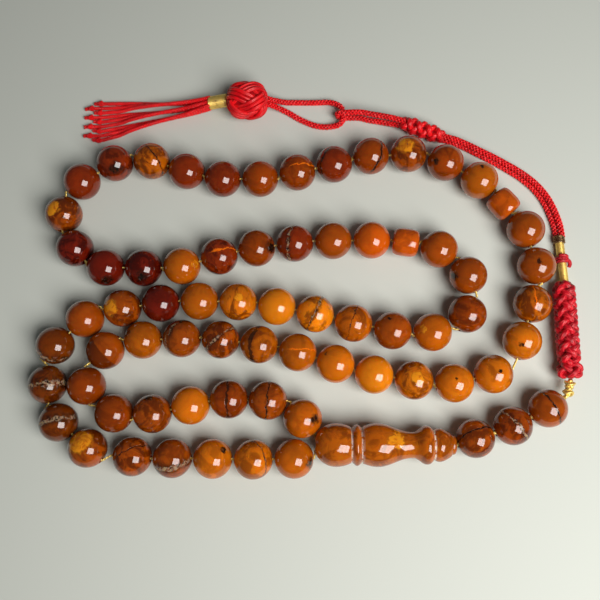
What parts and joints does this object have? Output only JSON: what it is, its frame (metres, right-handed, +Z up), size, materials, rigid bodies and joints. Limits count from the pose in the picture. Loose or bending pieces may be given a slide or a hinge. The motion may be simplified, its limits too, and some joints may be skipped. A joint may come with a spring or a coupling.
{
  "type": "prayer beads",
  "caption": "Laid-out string of round amber prayer beads with barrel separators, a turned leader, a beaded tail with a knotted sleeve, and a red braided cord ending in a ball knot and tassel.",
  "frame": {"origin": "middle of the laid-out string's bounding box, on the table it lies on", "axes": "+X along the leader, from its knob to its finial; +Y from the leader towards the tassel; +Z up off the table"},
  "size_m": [0.1325, 0.0998, 0.0102],
  "materials": {
    "honey_amber": "polished honey-brown amber with dark clouds and pits",
    "red_brown_amber": "polished red-brown amber with darker cracks",
    "orange_amber": "polished clear orange amber",
    "red_cord": "bright red fine braided cord",
    "gold_thread": "shiny gold thread"
  },
  "bodies": {
    "thread": {"loop_thread": "gold_thread", "tail_thread": "gold_thread"},
    "tail": {"end_knot": "gold_thread", "knotted_sleeve": "red_cord", "lower_whipping": "gold_thread", "red_ring": "red_cord", "upper_whipping": "gold_thread"},
    "tail_cord": {"lower_cord": "red_cord", "upper_cord": "red_cord", "snake_knot": "red_cord", "cord_eye": "red_cord"},
    "tassel": {"tassel_loop": "red_cord", "ball_knot": "red_cord", "tassel_ferrule": "gold_thread"},
    "tassel_skirt": {"tassel_strands": "red_cord"},
    "leader": {"leader": "honey_amber"},
    "separator_1": {"separator_1": "orange_amber"},
    "separator_2": {"separator_2": "orange_amber"},
    "tail_bead_1": {"tail_bead_1": "red_brown_amber"},
    "tail_bead_2": {"tail_bead_2": "red_brown_amber"},
    "tail_bead_3": {"tail_bead_3": "red_brown_amber"},
    "bead_01": {"bead_01": "honey_amber"},
    "beads_02_03": {"beads_02_03": "honey_amber"},
    "beads_04_05": {"beads_04_05": "honey_amber"},
    "bead_06": {"bead_06": "honey_amber"},
    "bead_07": {"bead_07": "honey_amber"},
    "bead_08": {"bead_08": "honey_amber"},
    "beads_09_10": {"beads_09_10": "honey_amber"},
    "beads_11_12": {"beads_11_12": "honey_amber"},
    "beads_13_14": {"beads_13_14": "honey_amber"},
    "beads_15_16": {"beads_15_16": "honey_amber"},
    "beads_17_18": {"beads_17_18": "honey_amber"},
    "beads_19_20": {"beads_19_20": "honey_amber"},
    "beads_21_22": {"beads_21_22": "honey_amber"},
    "beads_23_24": {"beads_23_24": "red_brown_amber"},
    "beads_25_26": {"beads_25_26": "red_brown_amber"},
    "beads_27_28": {"beads_27_28": "red_brown_amber"},
    "beads_29_30": {"beads_29_30": "red_brown_amber"},
    "beads_31_32": {"beads_31_32": "red_brown_amber"},
    "beads_33_34": {"beads_33_34": "red_brown_amber"},
    "bead_35": {"bead_35": "red_brown_amber"},
    "bead_36": {"bead_36": "red_brown_amber"},
    "beads_37_38": {"beads_37_38": "red_brown_amber"},
    "beads_39_40": {"beads_39_40": "red_brown_amber"},
    "beads_41_42": {"beads_41_42": "red_brown_amber"},
    "beads_43_44": {"beads_43_44": "red_brown_amber"},
    "bead_45": {"bead_45": "honey_amber"},
    "bead_46": {"bead_46": "honey_amber"},
    "bead_47": {"bead_47": "honey_amber"},
    "bead_48": {"bead_48": "honey_amber"},
    "beads_49_50": {"beads_49_50": "honey_amber"},
    "beads_51_52": {"beads_51_52": "honey_amber"},
    "beads_53_54": {"beads_53_54": "honey_amber"},
    "beads_55_56": {"beads_55_56": "honey_amber"},
    "beads_57_58": {"beads_57_58": "honey_amber"},
    "bead_59": {"bead_59": "honey_amber"},
    "beads_60_61": {"beads_60_61": "honey_amber"},
    "bead_62": {"bead_62": "honey_amber"},
    "beads_63_64": {"beads_63_64": "honey_amber"},
    "beads_65_66": {"beads_65_66": "honey_amber"}
  },
  "joints": [
    {"name": "tail_swing", "type": "hinge", "parent": "thread", "child": "tail", "pos_m": [0.0621, -0.03035, 0.00355], "axis": [0, 0, -1], "range_deg": [0, 30]},
    {"name": "cord_swing", "type": "hinge", "parent": "tail", "child": "tail_cord", "pos_m": [0.0635, 0.00865, 0.0014], "axis": [0, 0, -1], "range_deg": [0, 25]},
    {"name": "tassel_swing", "type": "hinge", "parent": "tail_cord", "child": "tassel", "pos_m": [0.00867, 0.04184, 0.0023], "axis": [0, 0, -1], "range_deg": [-2, 60]},
    {"name": "skirt_swing", "type": "hinge", "parent": "tassel", "child": "tassel_skirt", "pos_m": [-0.02497, 0.04535, 0.00286], "axis": [0, 0, -1], "range_deg": [-3, 8]},
    {"name": "leader_turn", "type": "hinge", "parent": "thread", "child": "leader", "pos_m": [0.01885, -0.04205, 0.005], "axis": [1, 0, 0], "range_deg": [-90, 90]},
    {"name": "separator_1_spin", "type": "hinge", "parent": "thread", "child": "separator_1", "pos_m": [0.04931, 0.01624, 0.0046], "axis": [-0.6382, 0.7699, 0], "continuous": true},
    {"name": "separator_2_spin", "type": "hinge", "parent": "thread", "child": "separator_2", "pos_m": [0.02497, 0.00663, 0.0046], "axis": [0.989, -0.1477, 0], "continuous": true},
    {"name": "tail_bead_1_spin", "type": "hinge", "parent": "thread", "child": "tail_bead_1", "pos_m": [0.03965, -0.04055, 0.0045], "axis": [0.9501, 0.312, 0], "continuous": true},
    {"name": "tail_bead_2_spin", "type": "hinge", "parent": "thread", "child": "tail_bead_2", "pos_m": [0.04845, -0.03765, 0.0045], "axis": [0.9274, 0.3742, 0], "continuous": true},
    {"name": "tail_bead_3_spin", "type": "hinge", "parent": "thread", "child": "tail_bead_3", "pos_m": [0.05675, -0.03365, 0.0045], "axis": [0.8841, 0.4672, 0], "continuous": true},
    {"name": "bead_01_spin", "type": "hinge", "parent": "thread", "child": "bead_01", "pos_m": [-0.00035, -0.03595, 0.0046], "axis": [-0.6023, 0.7983, 0], "continuous": true},
    {"name": "beads_02_03_spin", "type": "hinge", "parent": "thread", "child": "beads_02_03", "pos_m": [-0.01322, -0.0316, 0.0046], "axis": [-0.9994, 0.0345, 0], "continuous": true},
    {"name": "beads_04_05_spin", "type": "hinge", "parent": "thread", "child": "beads_04_05", "pos_m": [-0.0315, -0.03389, 0.0046], "axis": [-0.9776, -0.2104, 0], "continuous": true},
    {"name": "bead_06_spin", "type": "hinge", "parent": "thread", "child": "bead_06", "pos_m": [-0.04526, -0.03471, 0.0046], "axis": [-0.9283, 0.3718, 0], "continuous": true},
    {"name": "bead_07_spin", "type": "hinge", "parent": "thread", "child": "bead_07", "pos_m": [-0.05221, -0.0283, 0.0046], "axis": [-0.1901, 0.9818, 0], "continuous": true},
    {"name": "bead_08_spin", "type": "hinge", "parent": "thread", "child": "bead_08", "pos_m": [-0.04816, -0.01976, 0.0046], "axis": [0.7656, 0.6434, 0], "continuous": true},
    {"name": "beads_09_10_spin", "type": "hinge", "parent": "thread", "child": "beads_09_10", "pos_m": [-0.03433, -0.01707, 0.0046], "axis": [0.9994, 0.0355, 0], "continuous": true},
    {"name": "beads_11_12_spin", "type": "hinge", "parent": "thread", "child": "beads_11_12", "pos_m": [-0.01548, -0.01786, 0.0046], "axis": [0.9916, -0.129, 0], "continuous": true},
    {"name": "beads_13_14_spin", "type": "hinge", "parent": "thread", "child": "beads_13_14", "pos_m": [0.00298, -0.02176, 0.0046], "axis": [0.9571, -0.2898, 0], "continuous": true},
    {"name": "beads_15_16_spin", "type": "hinge", "parent": "thread", "child": "beads_15_16", "pos_m": [0.02127, -0.02642, 0.0046], "axis": [0.9883, -0.1524, 0], "continuous": true},
    {"name": "beads_17_18_spin", "type": "hinge", "parent": "thread", "child": "beads_17_18", "pos_m": [0.03998, -0.02673, 0.0046], "axis": [0.9762, 0.2168, 0], "continuous": true},
    {"name": "beads_19_20_spin", "type": "hinge", "parent": "thread", "child": "beads_19_20", "pos_m": [0.0533, -0.01338, 0.0046], "axis": [0.3201, 0.9474, 0], "continuous": true},
    {"name": "beads_21_22_spin", "type": "hinge", "parent": "thread", "child": "beads_21_22", "pos_m": [0.05536, 0.00503, 0.0046], "axis": [-0.2142, 0.9768, 0], "continuous": true},
    {"name": "beads_23_24_spin", "type": "hinge", "parent": "thread", "child": "beads_23_24", "pos_m": [0.03965, 0.0248, 0.0046], "axis": [-0.8657, 0.5006, 0], "continuous": true},
    {"name": "beads_25_26_spin", "type": "hinge", "parent": "thread", "child": "beads_25_26", "pos_m": [0.02163, 0.02947, 0.0046], "axis": [-0.999, -0.0454, 0], "continuous": true},
    {"name": "beads_27_28_spin", "type": "hinge", "parent": "thread", "child": "beads_27_28", "pos_m": [0.00297, 0.02618, 0.0046], "axis": [-0.9767, -0.2148, 0], "continuous": true},
    {"name": "beads_29_30_spin", "type": "hinge", "parent": "thread", "child": "beads_29_30", "pos_m": [-0.01578, 0.02362, 0.0046], "axis": [-0.9999, 0.0147, 0], "continuous": true},
    {"name": "beads_31_32_spin", "type": "hinge", "parent": "thread", "child": "beads_31_32", "pos_m": [-0.03431, 0.02731, 0.0046], "axis": [-0.9556, 0.2948, 0], "continuous": true},
    {"name": "beads_33_34_spin", "type": "hinge", "parent": "thread", "child": "beads_33_34", "pos_m": [-0.05243, 0.02579, 0.0046], "axis": [-0.8625, -0.506, 0], "continuous": true},
    {"name": "bead_35_spin", "type": "hinge", "parent": "thread", "child": "bead_35", "pos_m": [-0.06063, 0.01482, 0.0046], "axis": [-0.0402, -0.9992, 0], "continuous": true},
    {"name": "bead_36_spin", "type": "hinge", "parent": "thread", "child": "bead_36", "pos_m": [-0.05723, 0.00594, 0.0046], "axis": [0.6351, -0.7724, 0], "continuous": true},
    {"name": "beads_37_38_spin", "type": "hinge", "parent": "thread", "child": "beads_37_38", "pos_m": [-0.04443, 0.00081, 0.0046], "axis": [0.9999, -0.0172, 0], "continuous": true},
    {"name": "beads_39_40_spin", "type": "hinge", "parent": "thread", "child": "beads_39_40", "pos_m": [-0.0256, 0.0023, 0.0046], "axis": [0.9671, 0.2545, 0], "continuous": true},
    {"name": "beads_41_42_spin", "type": "hinge", "parent": "thread", "child": "beads_41_42", "pos_m": [-0.00701, 0.0061, 0.0046], "axis": [0.993, 0.1181, 0], "continuous": true},
    {"name": "beads_43_44_spin", "type": "hinge", "parent": "thread", "child": "beads_43_44", "pos_m": [0.01194, 0.00727, 0.0046], "axis": [1, 0.0071, 0], "continuous": true},
    {"name": "bead_45_spin", "type": "hinge", "parent": "thread", "child": "bead_45", "pos_m": [0.03307, 0.00486, 0.0046], "axis": [0.88, -0.4749, 0], "continuous": true},
    {"name": "bead_46_spin", "type": "hinge", "parent": "thread", "child": "bead_46", "pos_m": [0.03986, -0.00179, 0.0046], "axis": [0.3532, -0.9356, 0], "continuous": true},
    {"name": "bead_47_spin", "type": "hinge", "parent": "thread", "child": "bead_47", "pos_m": [0.03916, -0.01126, 0.0046], "axis": [-0.5505, -0.8349, 0], "continuous": true},
    {"name": "bead_48_spin", "type": "hinge", "parent": "thread", "child": "bead_48", "pos_m": [0.03073, -0.01564, 0.0046], "axis": [-0.9766, -0.2149, 0], "continuous": true},
    {"name": "beads_49_50_spin", "type": "hinge", "parent": "thread", "child": "beads_49_50", "pos_m": [0.01657, -0.0143, 0.0046], "axis": [-0.9817, 0.1902, 0], "continuous": true},
    {"name": "beads_51_52_spin", "type": "hinge", "parent": "thread", "child": "beads_51_52", "pos_m": [-0.00195, -0.0101, 0.0046], "axis": [-0.9807, 0.1955, 0], "continuous": true},
    {"name": "beads_53_54_spin", "type": "hinge", "parent": "thread", "child": "beads_53_54", "pos_m": [-0.02078, -0.00788, 0.0046], "axis": [-0.9995, 0.0305, 0], "continuous": true},
    {"name": "beads_55_56_spin", "type": "hinge", "parent": "thread", "child": "beads_55_56", "pos_m": [-0.03974, -0.00878, 0.0046], "axis": [-0.993, -0.1181, 0], "continuous": true},
    {"name": "beads_57_58_spin", "type": "hinge", "parent": "thread", "child": "beads_57_58", "pos_m": [-0.05704, -0.01522, 0.0046], "axis": [-0.7286, -0.685, 0], "continuous": true},
    {"name": "bead_59_spin", "type": "hinge", "parent": "thread", "child": "bead_59", "pos_m": [-0.06169, -0.0279, 0.0046], "axis": [0.1108, -0.9938, 0], "continuous": true},
    {"name": "beads_60_61_spin", "type": "hinge", "parent": "thread", "child": "beads_60_61", "pos_m": [-0.05477, -0.03983, 0.0046], "axis": [0.7757, -0.6311, 0], "continuous": true},
    {"name": "bead_62_slide", "type": "slide", "parent": "thread", "child": "bead_62", "axis": [-0.9943, 0.107, 0], "range_m": [0, 0.0012]},
    {"name": "beads_63_64_spin", "type": "hinge", "parent": "thread", "child": "beads_63_64", "pos_m": [-0.02611, -0.04517, 0.0046], "axis": [0.9999, -0.0154, 0], "continuous": true},
    {"name": "beads_65_66_spin", "type": "hinge", "parent": "thread", "child": "beads_65_66", "pos_m": [-0.00712, -0.0453, 0.0046], "axis": [0.9999, 0.0146, 0], "continuous": true}
  ]
}
